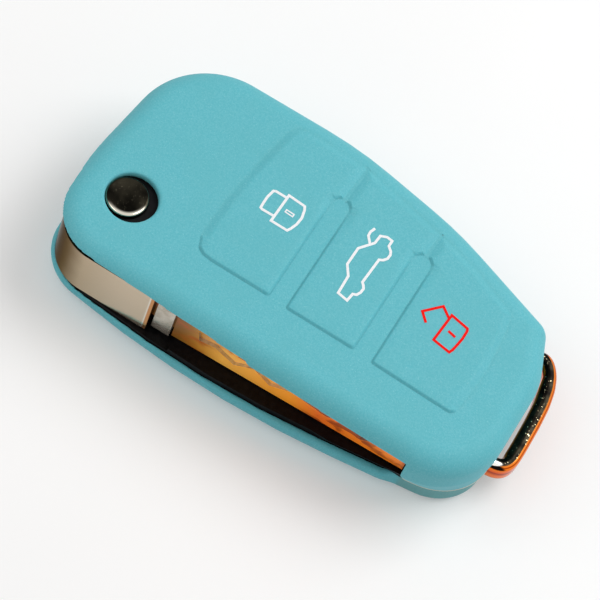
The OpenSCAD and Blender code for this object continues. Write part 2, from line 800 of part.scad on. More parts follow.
module unlock_mark() {
    centre = plan_point(unlock_mark_centre_shares);
    color([0.95, 0.1, 0.05])
    union() {
        mark_ring(mark_points(open_body_shares, centre));
        mark_line(mark_points(open_shackle_shares, centre));
        mark_line(mark_points(open_dash_shares, centre));
    }
}

module unlock_key() {
    key_cap(unlock_key_shares);
}

module unlock_plunger() {
    plunger(unlock_centre_shares);
}

cover_sleeve();
lower_case();
upper_case();
keypad_web();
circuit_board();
lock_switch();
boot_switch();
unlock_switch();
controller_chip();
timing_crystal();
antenna_coil();
transponder_chip();
coin_cell();
cell_clip_upper();
cell_clip_lower();
ring_loop();
blade_hub();
blade_collar();
key_blade();
blade_pin();
release_button();
flip_spring();
lock_pad();
lock_mark();
lock_key();
lock_plunger();
boot_pad();
boot_mark();
boot_key();
boot_plunger();
unlock_pad();
unlock_mark();
unlock_key();
unlock_plunger();
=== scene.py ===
import math

import bpy
import numpy as np
from mathutils import Matrix, Vector


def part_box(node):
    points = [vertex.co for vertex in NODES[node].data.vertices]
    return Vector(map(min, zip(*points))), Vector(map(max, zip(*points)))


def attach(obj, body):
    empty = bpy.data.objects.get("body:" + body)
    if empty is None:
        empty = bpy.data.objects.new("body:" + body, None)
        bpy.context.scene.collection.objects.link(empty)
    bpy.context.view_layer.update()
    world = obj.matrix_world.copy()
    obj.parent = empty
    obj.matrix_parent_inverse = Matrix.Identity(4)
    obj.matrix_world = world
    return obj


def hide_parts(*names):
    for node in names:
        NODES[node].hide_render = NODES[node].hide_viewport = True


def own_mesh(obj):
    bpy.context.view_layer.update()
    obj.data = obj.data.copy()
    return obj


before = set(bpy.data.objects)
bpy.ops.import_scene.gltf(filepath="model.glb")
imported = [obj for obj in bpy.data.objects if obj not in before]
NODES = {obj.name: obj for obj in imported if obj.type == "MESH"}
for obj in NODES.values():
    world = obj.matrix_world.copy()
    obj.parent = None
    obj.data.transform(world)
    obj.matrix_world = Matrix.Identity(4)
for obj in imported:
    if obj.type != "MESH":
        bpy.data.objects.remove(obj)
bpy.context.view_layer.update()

# Sizes and outlines, in mm.

MM = 0.001
# heights of the top face, of the rim below the blade and of the widest level
HEIGHT, RIM, WIDEST = 18.5, 4.6, 12.0
# thickness of the wall and base, and height of the ceiling inside
WALL, CEILING = 1.2, 17.1
# level between the upper half with its rounded top and the lower half with its rounded base
MIDDLE = 9.0
TOP_ROUND, BASE_ROUND, TAIL_BASE_ROUND = 3.6, 4.0, 1.9
INNER_TOP_ROUND, INNER_BASE_ROUND = 2.4, 2.8

# corners of the cover's outline as x, y and radius: at its widest level, at the rim, and of the
# case inside, which comes closer to the surface below the hub
UPPER = [(-38.5, -19.6, 9.2), (0.0, -20.1, 60), (35.8, -20.3, 11), (35.8, 2.4, 12),
         (32.4, 10.8, 3), (13.5, 17.4, 60), (-5.5, 20.7, 60), (-35.4, 20.2, 13.1),
         (-38.5, -4.6, 60)]
LOWER = [(-37.7, -17.45, 8.3), (-7.53, -22.05, 160), (35.3, -16.4, 8.8), (35.4, 2.2, 12),
         (31.9, 10.3, 3), (13.3, 16.9, 60), (-5.6, 20.1, 60), (-35.2, 19.9, 12.6),
         (-38.0, -4.6, 60)]
CASE = [(-38.3, -18.5, 9.3)] + LOWER[1:]

# corners of the button pads, in the same form
PADS = {
    "lock": [(-16.0, -9.7, .8), (-14.5, -9.9, .5), (-4.6, -9.9, .5), (-4.6, 8.9, .2),
             (-4.4, 9.65, .2), (-3.95, 10.14, .2), (-3.4, 10.4, .1), (-3.05, 17.1, .4),
             (-5.5, 17.2, .5), (-10.5, 17.3, .5), (-13.5, 17.2, .8), (-15.0, 16.6, .8),
             (-15.7, 15.3, .8), (-16.1, 13.3, .5), (-16.7, 9.3, .5), (-17.3, 4.3, .5),
             (-17.7, 0.3, .5), (-17.8, -4.7, .5), (-17.7, -7.2, 1), (-17.0, -9.0, 1)],
    "boot": [(-1.6, -10.1, .5), (9.9, -10.1, .5), (9.9, 7.9, .2), (10.1, 8.6, .2),
             (10.6, 9.15, .2), (11.2, 9.4, .1), (11.45, 13.95, .4), (9.5, 14.4, .5),
             (4.5, 15.6, .5), (-0.5, 16.6, .5), (-2.55, 17.0, .4), (-2.85, 10.4, .1),
             (-2.3, 10.15, .2), (-1.85, 9.65, .2), (-1.6, 8.9, .2)],
    "unlock": [(13.05, -10.4, .5), (20.0, -10.55, .5), (27.1, -10.7, 1.2), (27.7, -5.7, .5),
               (27.9, -1.7, .5), (27.7, 2.3, .5), (27.4, 5.3, .5), (26.7, 8.8, 1.2),
               (23.5, 10.1, .5), (19.5, 11.8, .5), (14.5, 13.3, .5), (11.95, 13.85, .4),
               (11.75, 9.4, .1), (12.3, 9.2, .2), (12.85, 8.6, .2), (13.05, 7.9, .2)],
}
# how far the pads stand up, how wide their seam is, and the level of their undersides
PAD_RISE, SEAM, PAD_BASE = 0.45, 0.08, CEILING + 0.45
# depth and width of the crease round a pad, and the share of the rise that its steep edge takes
CREASE_DEPTH, CREASE_WIDTH, EDGE_SHARE = 0.06, 0.14, 0.82
# level above which a face of the cover can belong to a pad, and above which an edge is a pad's
TOP_LEVEL, PAD_EDGE_LEVEL = 16.9, 17.7
# two pads share the gap between them where the nearer and the farther are closer than this
SHARED_NEAR, SHARED_FAR = 0.40, 0.62
# an edge point moves onto the seam where the next pad is farther off than the first of these,
# and the way to the seam is shorter than the second
SNAP_APART, SNAP_REACH = 0.7, 0.35

# the drawing is laid on the frame's pivot
PIVOT = (-29.897, -7.7)
button_low, button_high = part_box("release_button")
SHIFT = (button_low.x + button_high.x) / 2 / MM - PIVOT[0]
# hole over the release button: its middle, its radius, and a level in the hollow below the face
HOLE_X, HOLE_RADIUS, HOLE_BASE = -29.2, 4.0, 14

# blade opening: its upper edge, how much higher that is at the head and at the collar, where it
# steps down, its end, and the walls behind the blade and behind the hub
OPENING_TOP, HEAD_RISE, COLLAR_RISE = 15.8, 1.1, 0.45
STEP_START, STEP_END, OPENING_END = -2.5, -1.5, 25.1
BLADE_WALL, HUB_WALL = -12.3, 3.35
# how far the wall beside the opening at the head is drawn in
HEAD_INSET = 0.95
# roundings of the opening's edge above and below the middle, of the hole's edge and of the room
LIP_TOP_ROUND, LIP_BASE_ROUND, HOLE_ROUND, ROOM_ROUND = 0.2, 1.0, 0.5, 0.2

# moulding line round the tail: its height, its thickness, how far the wall below it steps back
# and how far the whole wall is set in
LINE_LEVEL, LINE_WIDTH, LINE_STEP, LINE_INSET = RIM + 1.5, 0.12, 0.22, 0.95

# middle line of the ring loop, from one socket to the other
LOOP = [(30.8, -7.95), (35.4, -7.95), (36.4, -7.85), (37.25, -7.4), (37.8, -6.5), (37.95, -5.3),
        (37.95, -3.0), (37.85, 1.0), (37.6, 4.6), (37.1, 7.3), (36.3, 9.4), (35.4, 10.7),
        (34.5, 11.4), (33.6, 11.4), (29.12, 8.24)]
LOOP_WIDTH, LOOP_HEIGHT, LOOP_LEVEL, LOOP_EDGE = 2.1, 4.2, 5.75, 0.95
# how much wider the loop's long side is, towards the cover
LOOP_SWELL = 0.4
# sockets of the loop: a place, and the direction of the bar there; their gap and half length
SOCKETS = (((34.8, -7.95), (1.0, 0.0)), ((31.6, 10.0), (0.82, 0.58)))
SOCKET_GAP, SOCKET_REACH = 0.05, 4.0

# lengths too short to divide by
TINY, SMALL = 1e-12, 1e-6


# Outlines and fields.

def unit(vector):
    return vector / np.linalg.norm(vector)


def rounded(points, step):
    """Closed outline with round corners; the step is the angle from point to point on an arc."""
    corners = np.array([point[:2] for point in points], float)
    line = []
    for i, corner in enumerate(corners):
        last, following = corners[i - 1], corners[(i + 1) % len(corners)]
        back, onward = unit(last - corner), unit(following - corner)
        opening = math.acos(max(-1, min(1, back @ onward)))
        turn = math.pi - opening
        longest = 0.8 * min(np.linalg.norm(last - corner), np.linalg.norm(following - corner))
        cut = min(points[i][2] / math.tan(opening / 2), longest)
        radius = cut * math.tan(opening / 2)
        centre = corner + unit(back + onward) * radius / math.sin(opening / 2)
        start = corner + back * cut - centre
        first = math.atan2(start[1], start[0])
        side = 1 if back[1] * onward[0] > back[0] * onward[1] else -1
        count = max(2, math.ceil(math.degrees(turn) / step))
        for k in range(count + 1):
            angle = first + side * turn * k / count
            line.append(centre + radius * np.array([math.cos(angle), math.sin(angle)]))
    return np.array(line)


def polygon_distance(line, x, y):
    """Signed distance to a closed outline, less than zero inside."""
    best = np.full(x.shape, np.inf)
    inside = np.zeros(x.shape, bool)
    for start, end in zip(line, np.roll(line, -1, axis=0)):
        edge = end - start
        squared = edge @ edge
        if squared < TINY:
            continue
        dx, dy = x - start[0], y - start[1]
        share = np.clip((dx * edge[0] + dy * edge[1]) / squared, 0, 1)
        best = np.minimum(best, (dx - share * edge[0]) ** 2 + (dy - share * edge[1]) ** 2)
        crosses = ((start[1] <= y) & (end[1] > y)) | ((end[1] <= y) & (start[1] > y))
        if abs(edge[1]) > TINY:
            inside ^= crosses & (x < start[0] + dy / edge[1] * edge[0])
    return np.where(inside, -1.0, 1.0) * np.sqrt(best)


def smooth_max(first, second, width):
    """The larger of two fields, rounded where they are nearly the same."""
    blend = np.maximum(width - np.abs(first - second), 0) / width
    return np.maximum(first, second) + blend * blend * width / 4


def smoothstep(share):
    share = np.clip(share, 0, 1)
    return share * share * (3 - 2 * share)


def fade(value, start, end):
    """Runs smoothly from 0 to 1 while a value goes from start to end."""
    return smoothstep((value - start) / (end - start))


def spanned(field, grids):
    """Quads round the zero surface of a field, with one vertex for each cell that it crosses."""
    inside = field < 0
    shape = tuple(size - 1 for size in field.shape)
    total = np.zeros((math.prod(shape), 3), np.float32)
    count = np.zeros(len(total), np.float32)
    edges = []
    for axis in range(3):
        low = tuple(slice(None, -1) if k == axis else slice(None) for k in range(3))
        high = tuple(slice(1, None) if k == axis else slice(None) for k in range(3))
        crossed = np.nonzero(inside[low] != inside[high])
        first, second = field[low][crossed], field[high][crossed]
        share = first / (first - second)
        place = np.zeros((len(share), 3), np.float32)
        for k, grid in enumerate(grids):
            start = grid[crossed[k]]
            place[:, k] = start + share * (grid[crossed[k] + 1] - start) if k == axis else start
        # the four cells that share each crossed edge
        others = [k for k in range(3) if k != axis]
        cells = []
        for steps in ((0, 0), (-1, 0), (-1, -1), (0, -1)):
            cell = [numbers.copy() for numbers in crossed]
            for k, step in zip(others, steps):
                cell[k] += step
            valid = np.ones(len(share), bool)
            for k in range(3):
                valid &= (cell[k] >= 0) & (cell[k] < shape[k])
            clipped = [np.clip(cell[k], 0, shape[k] - 1) for k in range(3)]
            flat = np.ravel_multi_index(clipped, shape)
            for k in range(3):
                np.add.at(total[:, k], flat[valid], place[valid, k])
            np.add.at(count, flat[valid], 1)
            cells.append((flat, valid))
        edges.append((axis, cells, first < 0))
    used = count > 0
    number = np.cumsum(used) - 1
    quads = []
    for axis, cells, first_inside in edges:
        valid = np.logical_and.reduce([ok for _, ok in cells])
        quad = np.stack([number[flat] for flat, _ in cells], axis=1)[valid]
        outward = first_inside[valid] if axis != 1 else ~first_inside[valid]
        quad[~outward] = quad[~outward][:, ::-1]
        quads.append(quad)
    return (total[used] / count[used][:, None]).astype(float), np.concatenate(quads)


# edges that bend by more than this many degrees are drawn as edges
SHARP_ANGLE = 48


def mesh_object(name, points, faces, smooth=True):
    """Mesh object from points in mm, and faces that list the numbers of their points."""
    mesh = bpy.data.meshes.new(name)
    places = (np.asarray(points, float) + [SHIFT, 0, 0]) * MM
    mesh.vertices.add(len(places))
    mesh.vertices.foreach_set("co", places.ravel())
    sizes = np.array([len(face) for face in faces], np.int32)
    flat = np.concatenate([np.asarray(face) for face in faces])
    mesh.loops.add(len(flat))
    mesh.loops.foreach_set("vertex_index", flat.astype(np.int32))
    mesh.polygons.add(len(sizes))
    mesh.polygons.foreach_set("loop_start", np.concatenate([[0], np.cumsum(sizes)[:-1]]).astype(np.int32))
    mesh.polygons.foreach_set("loop_total", sizes)
    mesh.polygons.foreach_set("use_smooth", np.full(len(sizes), smooth))
    mesh.update(calc_edges=True)
    mesh.set_sharp_from_angle(angle=math.radians(SHARP_ANGLE))
    mesh.validate()
    obj = bpy.data.objects.new(name, mesh)
    bpy.context.scene.collection.objects.link(obj)
    return obj


# Nodes that the materials are made of.

def tone(red, green, blue):
    """Colour from the values 0 to 255 that a picture shows."""
    shares = (value / 255 for value in (red, green, blue))
    return tuple(v / 12.92 if v < 0.04 else ((v + 0.055) / 1.055) ** 2.4 for v in shares)


def new_material(name, roughness, metallic=0.0, specular=0.5):
    """Material with one shader; returns it, its node tree and the shader."""
    material = bpy.data.materials.new(name)
    material.use_nodes = True
    shader = material.node_tree.nodes["Principled BSDF"]
    shader.inputs["Roughness"].default_value = roughness
    shader.inputs["Metallic"].default_value = metallic
    shader.inputs["Specular IOR Level"].default_value = specular
    return material, material.node_tree, shader


def noise(tree, scale, detail=3.0, stretch=(1, 1, 1)):
    """Noise on the object, with a scale in waves a metre."""
    place = tree.nodes.new("ShaderNodeTexCoord")
    mapping = tree.nodes.new("ShaderNodeMapping")
    mapping.inputs["Scale"].default_value = stretch
    texture = tree.nodes.new("ShaderNodeTexNoise")
    texture.inputs["Scale"].default_value = scale
    texture.inputs["Detail"].default_value = detail
    tree.links.new(place.outputs["Object"], mapping.inputs["Vector"])
    tree.links.new(mapping.outputs["Vector"], texture.inputs["Vector"])
    return texture.outputs["Fac"]


def part_of(tree, vector, axis):
    split = tree.nodes.new("ShaderNodeSeparateXYZ")
    tree.links.new(vector, split.inputs["Vector"])
    return split.outputs[axis]


def along(tree, axis):
    """Place on the object along one axis, in metres."""
    return part_of(tree, tree.nodes.new("ShaderNodeTexCoord").outputs["Object"], axis)


def facing(tree, axis):
    """How much the surface faces along one axis, from -1 to 1."""
    return part_of(tree, tree.nodes.new("ShaderNodeNewGeometry").outputs["Normal"], axis)


def rise(tree, value, low, high):
    """Runs smoothly from 0 to 1 while a value goes from low to high."""
    span = tree.nodes.new("ShaderNodeMapRange")
    span.interpolation_type = "SMOOTHSTEP"
    span.inputs["From Min"].default_value = low
    span.inputs["From Max"].default_value = high
    tree.links.new(value, span.inputs["Value"])
    return span.outputs["Result"]


def reckon(tree, operation, first, second):
    """One sum of two values, each of them a socket or a number."""
    sum_node = tree.nodes.new("ShaderNodeMath")
    sum_node.operation = operation
    for value, socket in ((first, sum_node.inputs[0]), (second, sum_node.inputs[1])):
        if isinstance(value, float):
            socket.default_value = value
        else:
            tree.links.new(value, socket)
    return sum_node.outputs["Value"]


def times(tree, first, second):
    return reckon(tree, "MULTIPLY", first, second)


def mixed(tree, share, first, second):
    """Colour between two others, each of them a socket or a plain colour."""
    mix = tree.nodes.new("ShaderNodeMix")
    mix.data_type = "RGBA"
    sockets = [socket for socket in mix.inputs if socket.type == "RGBA"]
    tree.links.new(share, mix.inputs[0])
    for value, socket in zip((first, second), sockets):
        if isinstance(value, tuple):
            socket.default_value = (*value, 1)
        else:
            tree.links.new(value, socket)
    return [socket for socket in mix.outputs if socket.type == "RGBA"][0]


def ramp(tree, value, stops):
    """Colour that runs through stops, each of them a place from 0 to 1 and a colour."""
    run = tree.nodes.new("ShaderNodeValToRGB")
    points = run.color_ramp.elements
    points[0].position, points[0].color = stops[0][0], (*stops[0][1], 1)
    points[1].position, points[1].color = stops[-1][0], (*stops[-1][1], 1)
    for place, colour in stops[1:-1]:
        points.new(place).color = (*colour, 1)
    tree.links.new(value, run.inputs["Fac"])
    return run.outputs["Color"]


def grain(tree, shader, scale, strength):
    """Fine bumps, a tenth of a millimetre high at full strength."""
    bump = tree.nodes.new("ShaderNodeBump")
    bump.inputs["Strength"].default_value = strength
    bump.inputs["Distance"].default_value = 0.1 * MM
    tree.links.new(noise(tree, scale, 2.0), bump.inputs["Height"])
    tree.links.new(bump.outputs["Normal"], shader.inputs["Normal"])


# Materials.

def plain_material(name, dark, light, roughness, metallic=0.0, scale=1500, bump=0.1, specular=0.5):
    """Two close colours mixed by noise, with a fine bump and slightly uneven gloss."""
    material, tree, shader = new_material(name, roughness, metallic, specular)
    cloud = noise(tree, scale)
    tree.links.new(mixed(tree, rise(tree, cloud, 0.35, 0.65), dark, light), shader.inputs["Base Color"])
    gloss = tree.nodes.new("ShaderNodeMapRange")
    gloss.inputs["To Min"].default_value = roughness * 0.85
    gloss.inputs["To Max"].default_value = roughness * 1.15
    tree.links.new(cloud, gloss.inputs["Value"])
    tree.links.new(gloss.outputs["Result"], shader.inputs["Roughness"])
    grain(tree, shader, 4000, bump)
    return material


def silicone_material():
    """Dyed silicone with a dusty speckle; painted highlight and shade at the tail's moulding line."""
    material, tree, shader = new_material("silicone", 0.6, specular=0.3)
    fine = rise(tree, noise(tree, 4200, 2.0), 0.30, 0.72)
    colour = mixed(tree, fine, tone(93, 185, 197), tone(108, 193, 204))
    cloud = rise(tree, noise(tree, 160, 2.0), 0.35, 0.70)
    colour = mixed(tree, times(tree, cloud, 0.3), colour, tone(99, 185, 194))
    dust = rise(tree, noise(tree, 7000, 1.0), 0.66, 0.76)
    colour = mixed(tree, times(tree, dust, 0.5), colour, tone(160, 222, 228))
    # painted shade greys the wall below the moulding line on the near side of the tail
    height = along(tree, "Z")
    tail_start = OPENING_END + SHIFT
    tail = rise(tree, along(tree, "X"), (tail_start - 0.7) * MM, (tail_start + 0.5) * MM)
    near_tail = times(tree, tail, rise(tree, along(tree, "Y"), 5.0 * MM, -5.0 * MM))
    below = rise(tree, height, (LINE_LEVEL - 0.1) * MM, (LINE_LEVEL - 0.2) * MM)
    colour = mixed(tree, times(tree, times(tree, below, near_tail), 0.6), colour, tone(112, 156, 152))
    # painted highlight: the moulding line is pale there
    line = times(tree, rise(tree, height, (LINE_LEVEL - 0.20) * MM, (LINE_LEVEL - 0.12) * MM),
                 rise(tree, height, (LINE_LEVEL + 0.22) * MM, (LINE_LEVEL + 0.12) * MM))
    colour = mixed(tree, times(tree, line, near_tail), colour, tone(226, 216, 196))
    tree.links.new(colour, shader.inputs["Base Color"])
    shader.inputs["Subsurface Weight"].default_value = 0.2
    shader.inputs["Subsurface Radius"].default_value = (0.4, 0.9, 1.0)
    shader.inputs["Subsurface Scale"].default_value = 0.8 * MM
    grain(tree, shader, 5500, 0.12)
    return material


def hub_material():
    """Nickel with a painted reflection of a wooden table: dark at the head, paler towards the blade."""
    head_end, white_start, orange_reflection_start, end_face = -37.5, -19.3, -19.05, -18.54
    material, tree, shader = new_material("arm_mirror", 0.16, 0.85)
    x = along(tree, "X")
    waver = times(tree, noise(tree, 130, 4.0), 2.0 * MM)
    share = rise(tree, reckon(tree, "ADD", x, waver), head_end * MM, -20.0 * MM)
    # painted reflection of the table, along the arm
    colour = ramp(tree, share, [(0.0, tone(86, 72, 56)), (0.2, tone(150, 131, 106)),
                                (0.45, tone(212, 194, 168)), (1.0, tone(230, 214, 192))])
    # painted shade: faces that turn upwards are dark brown
    colour = mixed(tree, rise(tree, facing(tree, "Z"), 0.25, 0.6), colour, tone(70, 54, 36))
    # bands at the arm's end: painted white gleam, painted orange reflection, painted shade on the end face
    for start, blur, band in ((white_start, 0.05, tone(250, 244, 232)),
                              (orange_reflection_start, 0.05, tone(228, 168, 120)),
                              (end_face, 0.02, tone(70, 50, 34))):
        shown = rise(tree, x, (start - blur) * MM, (start + blur) * MM)
        colour = mixed(tree, shown, colour, band)
    tree.links.new(colour, shader.inputs["Base Color"])
    shader.inputs["Specular Tint"].default_value = (0.3, 0.25, 0.2, 1)
    grain(tree, shader, 900, 0.04)
    return material


def blade_material():
    """Steel with a painted wood-table reflection on its outer face, mottled red-brown towards its end."""
    start, end = -15.0, 25.0
    material, tree, shader = new_material("blade_mirror", 0.35)
    x = along(tree, "X")
    share = rise(tree, x, start * MM, end * MM)
    # painted reflection of a wooden table along the blade
    reflected = ramp(tree, share, [(0.0, tone(120, 78, 26)), (0.04, tone(190, 130, 45)),
                              (0.12, tone(250, 182, 78)), (0.5, tone(255, 160, 46)),
                              (0.68, tone(240, 112, 34)), (0.85, tone(250, 130, 34)),
                              (1.0, tone(255, 138, 32))])
    streak = noise(tree, 260, 5.0, (0.55, 1, 1.4))
    reflected = mixed(tree, rise(tree, streak, 0.54, 0.72), reflected, tone(168, 80, 24))
    # painted reflection, mottled red-brown towards the end
    far_end = rise(tree, x, 4.0 * MM, 12.0 * MM)
    mottled_reflection = times(tree, rise(tree, noise(tree, 420, 4.0, (0.5, 1, 1)), 0.50, 0.62), far_end)
    reflected = mixed(tree, times(tree, mottled_reflection, 0.75), reflected, tone(120, 36, 14))
    # the painted reflection of the table is on the outer face alone, which has a painted glow with it
    normal = tree.nodes.new("ShaderNodeTexCoord").outputs["Normal"]
    outer = rise(tree, part_of(tree, normal, "Y"), -0.1, -0.35)
    steel = mixed(tree, rise(tree, noise(tree, 900), 0.35, 0.65), tone(188, 187, 184), tone(212, 211, 207))
    tree.links.new(mixed(tree, outer, steel, reflected), shader.inputs["Base Color"])
    tree.links.new(mixed(tree, outer, (0.0, 0.0, 0.0), reflected), shader.inputs["Emission Color"])
    shader.inputs["Emission Strength"].default_value = 0.25
    metallic = reckon(tree, "SUBTRACT", 1.0, times(tree, outer, 0.85))
    tree.links.new(metallic, shader.inputs["Metallic"])
    grain(tree, shader, 1500, 0.06)
    return material


def loop_material():
    """Black nickel: dark from above, with a painted reflection of a wooden table on its sides."""
    material, tree, shader = new_material("black_nickel", 0.14, 1.0)
    # painted reflection of a wooden table: on the sides by height, on the bevel by how far it faces up
    share = rise(tree, along(tree, "Z"), 3.4 * MM, 8.0 * MM)
    side = ramp(tree, share, [(0.0, tone(230, 124, 44)), (0.35, tone(232, 104, 20)),
                              (0.6, tone(150, 40, 8)), (0.72, tone(226, 90, 14)),
                              (1.0, tone(240, 128, 36))])
    up = facing(tree, "Z")
    bevel = ramp(tree, up, [(0.3, tone(232, 112, 26)), (0.55, tone(240, 128, 36)),
                            (0.68, tone(150, 42, 10)), (0.8, tone(238, 120, 30)),
                            (0.95, tone(240, 150, 70))])
    reflected = mixed(tree, rise(tree, up, 0.25, 0.35), side, bevel)
    # painted shade: black where the loop comes out of the near socket
    y = along(tree, "Y")
    near = times(tree, rise(tree, y, -7.9 * MM, -8.3 * MM), rise(tree, up, 0.2, 0.4))
    reflected = mixed(tree, near, reflected, tone(16, 12, 10))
    # specks on the dark top, and a white gleam at its root
    dark = mixed(tree, rise(tree, noise(tree, 420, 4.0), 0.42, 0.70), tone(16, 14, 12), tone(46, 43, 34))
    sparkle = rise(tree, noise(tree, 2600, 2.0), 0.66, 0.73)
    dark = mixed(tree, sparkle, dark, tone(215, 200, 160))
    root = rise(tree, along(tree, "X"), 36.9 * MM, 36.2 * MM)
    gleam = times(tree, root, rise(tree, y, -7.5 * MM, -8.0 * MM))
    dark = mixed(tree, gleam, dark, tone(250, 246, 238))
    # the dark top is narrower on the outer side
    outer = rise(tree, facing(tree, "X"), 0.0, 0.2)
    level = reckon(tree, "SUBTRACT", up, times(tree, outer, 0.22))
    tree.links.new(mixed(tree, rise(tree, level, 0.66, 0.74), reflected, dark), shader.inputs["Base Color"])
    grain(tree, shader, 1200, 0.05)
    return material


def button_material():
    """Polished dark nickel with fine specks, and a crescent and a rim of painted highlight."""
    # the crescent lies towards the blade and the tail, and fades in from one radius to the other
    crescent_x, crescent_y = 0.45, 0.89
    inner_radius, outer_radius = 2.45, 2.95
    material, tree, shader = new_material("button_mirror", 0.15, 1.0)
    cloud = rise(tree, noise(tree, 190, 3.0), 0.38, 0.66)
    top = mixed(tree, cloud, tone(16, 15, 12), tone(50, 47, 38))
    speck = rise(tree, noise(tree, 6500, 1.0), 0.72, 0.78)
    top = mixed(tree, times(tree, speck, 0.5), top, tone(170, 162, 140))
    across = reckon(tree, "SUBTRACT", along(tree, "X"), (PIVOT[0] + SHIFT) * MM)
    upwards = reckon(tree, "SUBTRACT", along(tree, "Y"), PIVOT[1] * MM)
    lean = reckon(tree, "SUBTRACT", times(tree, across, crescent_x), times(tree, upwards, crescent_y))
    # painted highlight: a bright crescent near the rim
    crescent = rise(tree, lean, 1.0 * MM, 2.6 * MM)
    squared = reckon(tree, "ADD", times(tree, across, across), times(tree, upwards, upwards))
    rim = rise(tree, squared, (inner_radius * MM) ** 2, (outer_radius * MM) ** 2)
    top = mixed(tree, times(tree, crescent, rim), top, tone(214, 208, 194))
    up = facing(tree, "Z")
    # painted highlight pales the rounded rim; painted shade darkens the sides and chamfer below it
    colour = mixed(tree, rise(tree, up, 0.45, 0.93), tone(226, 214, 190), top)
    colour = mixed(tree, rise(tree, up, 0.25, 0.10), colour, tone(60, 40, 26))
    tree.links.new(colour, shader.inputs["Base Color"])
    grain(tree, shader, 3000, 0.05)
    return material


SILICONE = silicone_material()
BLACK = plain_material("case_plastic", tone(8, 8, 9), tone(18, 17, 18), 0.45, bump=0.3, specular=0.08)
WEB = plain_material("keypad_rubber", tone(50, 50, 54), tone(62, 62, 66), 0.7, bump=0.2)
KEYS = plain_material("key_plastic", tone(28, 28, 32), tone(38, 38, 40), 0.5)
BOARD = plain_material("board_mask", tone(24, 86, 46), tone(28, 96, 56), 0.35, scale=400)
TIN = plain_material("tinned_metal", tone(196, 196, 193), tone(217, 217, 214), 0.3, 1.0, bump=0.05)
CHIP = plain_material("chip_moulding", tone(26, 26, 28), tone(38, 38, 38), 0.6, bump=0.3)
COPPER = plain_material("enamelled_wire", tone(178, 112, 64), tone(203, 137, 85), 0.35, 1.0,
                        scale=3000, bump=0.4)
CELL = plain_material("cell_steel", tone(205, 205, 205), tone(224, 224, 224), 0.28, 1.0, scale=2500,
                      bump=0.08)
BRASS = plain_material("clip_brass", tone(216, 199, 149), tone(230, 214, 166), 0.3, 1.0)
STEEL = plain_material("spring_steel", tone(188, 188, 188), tone(211, 211, 211), 0.3, 1.0)
COLLAR = plain_material("collar_mirror", tone(196, 184, 168), tone(222, 212, 198), 0.22, 0.8, scale=500,
                        bump=0.2)
HUB = hub_material()
BLADE = blade_material()
BUTTON = button_material()
NICKEL = loop_material()
WHITE = plain_material("white_print", tone(238, 240, 244), tone(250, 251, 252), 0.55, scale=4000)
RED = plain_material("red_print", tone(244, 6, 3), tone(252, 22, 8), 0.7, scale=4000, specular=0.15)
FLOOR = plain_material("floor_pale", (0.79, 0.79, 0.79), (0.81, 0.81, 0.81), 0.8, scale=12, bump=0.0)


# CAD nodes that keep their shape.

def dress(obj, material):
    obj.data.materials.clear()
    obj.data.materials.append(material)
    return obj


def soften(obj, width):
    """Rounds the sharp edges of a CAD node."""
    flat = obj.modifiers.new("flat", "DECIMATE")
    flat.decimate_type = "DISSOLVE"
    flat.angle_limit = math.radians(1.0)
    bevel = obj.modifiers.new("bevel", "BEVEL")
    bevel.width = width * MM
    bevel.segments = 3
    bevel.limit_method = "ANGLE"
    bevel.angle_limit = math.radians(35)
    bevel.harden_normals = False
    for polygon in obj.data.polygons:
        polygon.use_smooth = True
    normals = obj.modifiers.new("normals", "WEIGHTED_NORMAL")
    normals.keep_sharp = True


for finish, names in (
    (BLACK, ("lower_case", "upper_case")),
    (WEB, ("keypad_web", "lock_plunger", "boot_plunger", "unlock_plunger")),
    (KEYS, ("lock_key", "boot_key", "unlock_key")),
    (BOARD, ("circuit_board",)),
    (TIN, ("lock_switch", "boot_switch", "unlock_switch", "timing_crystal")),
    (CHIP, ("controller_chip", "transponder_chip")),
    (COPPER, ("antenna_coil",)),
    (CELL, ("coin_cell",)),
    (BRASS, ("cell_clip_upper", "cell_clip_lower")),
    (STEEL, ("blade_pin",)),
    (HUB, ("blade_hub",)),
    (COLLAR, ("blade_collar",)),
    (BLADE, ("key_blade",)),
    (WHITE, ("lock_mark", "boot_mark")),
    (RED, ("unlock_mark",)),
):
    for name in names:
        dress(NODES[name], finish)

for name, width in (("blade_hub", 0.35), ("blade_collar", 0.35), ("key_blade", 0.22),
                    ("lower_case", 0.25), ("upper_case", 0.2), ("coin_cell", 0.3)):
    soften(NODES[name], width)

# Silicone cover: a field on a grid of points, which lie closer where the shape has detail.

PITCH = 0.2
# reach of the grid, a little past the cover, and its levels as start, end and step
GRID_X, GRID_Y = (-39.3, 36.9), (-21.8, 21.8)
LEVELS = ((-0.4, 3.0, 0.3), (3.0, 4.2, 0.17), (4.2, 6.5, 0.09), (6.5, 14.0, 0.45), (14.0, 19.2, 0.24))
xs = np.arange(*GRID_X, PITCH)
ys = np.arange(*GRID_Y, PITCH)
zs = np.concatenate([np.arange(*levels) for levels in LEVELS])
X, Y = np.meshgrid(xs, ys, indexing="ij")
UPPER_LINE = rounded(UPPER, 4)
d_upper = polygon_distance(UPPER_LINE, X, Y)
d_lower = polygon_distance(rounded(LOWER, 4), X, Y)
d_case = polygon_distance(rounded(CASE, 4), X, Y)
# how much the wall faces the blade side
facing_near = np.clip(-np.gradient(d_lower, PITCH, axis=1), 0, 1) ** 2
# where the tail with its moulding line is, and the wall beside the opening at the head
tail = fade(X, 22, 25) * fade(Y, 2, -6)
beside_head = fade(Y, 10, 3) * fade(X, -30, -34)


def opening_edge():
    """Height of the blade opening's upper edge: along the blade, and round the head."""
    by_blade = np.interp(X, [PIVOT[0], STEP_START, STEP_END],
                         [OPENING_TOP + HEAD_RISE, OPENING_TOP + COLLAR_RISE, OPENING_TOP])
    by_head = OPENING_TOP + HEAD_RISE * fade(Y, 1, -11)
    return np.where(X < PIVOT[0], by_head, by_blade)


edge_line = opening_edge()


